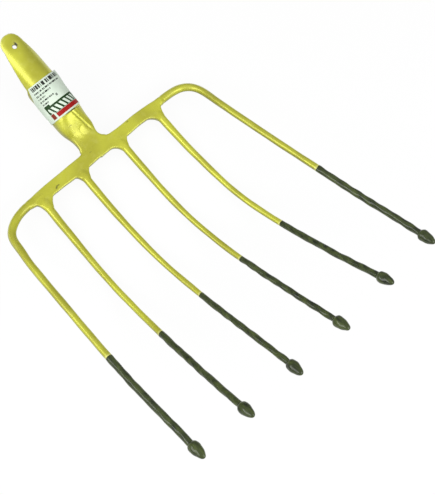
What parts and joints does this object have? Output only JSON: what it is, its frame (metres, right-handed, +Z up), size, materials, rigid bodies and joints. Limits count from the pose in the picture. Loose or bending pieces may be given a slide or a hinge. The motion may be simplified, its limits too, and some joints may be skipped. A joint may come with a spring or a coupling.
{
  "type": "ensilage fork head",
  "caption": "Steel fork head with dished round tines on a flat crossbar, a round bud on each tip and an open tapered socket behind for a long handle.",
  "frame": {"origin": "centre of the bounding box's footprint, on the level ground that the fork lies on", "axes": "+Y from the socket towards the tine tips, +X to the right seen from the socket, +Z up out of the dished face"},
  "size_m": [0.3422, 0.4962, 0.1161],
  "materials": {
    "gold_lacquer": "glossy gold-green lacquer over forged steel",
    "dark_paint": "glossy dark green dip paint, slightly uneven",
    "label_paper": "coated paper, satin"
  },
  "bodies": {
    "root": {"socket": "gold_lacquer", "crossbar": "gold_lacquer", "label": "label_paper", "tine_inner_right": "gold_lacquer", "tine_inner_left": "gold_lacquer", "tine_middle_right": "gold_lacquer", "tine_middle_left": "gold_lacquer", "tine_outer_right": "gold_lacquer", "tine_outer_left": "gold_lacquer", "bud_inner_right": "dark_paint", "bud_inner_left": "dark_paint", "bud_middle_right": "dark_paint", "bud_middle_left": "dark_paint", "bud_outer_right": "dark_paint", "bud_outer_left": "dark_paint"}
  },
  "joints": []
}
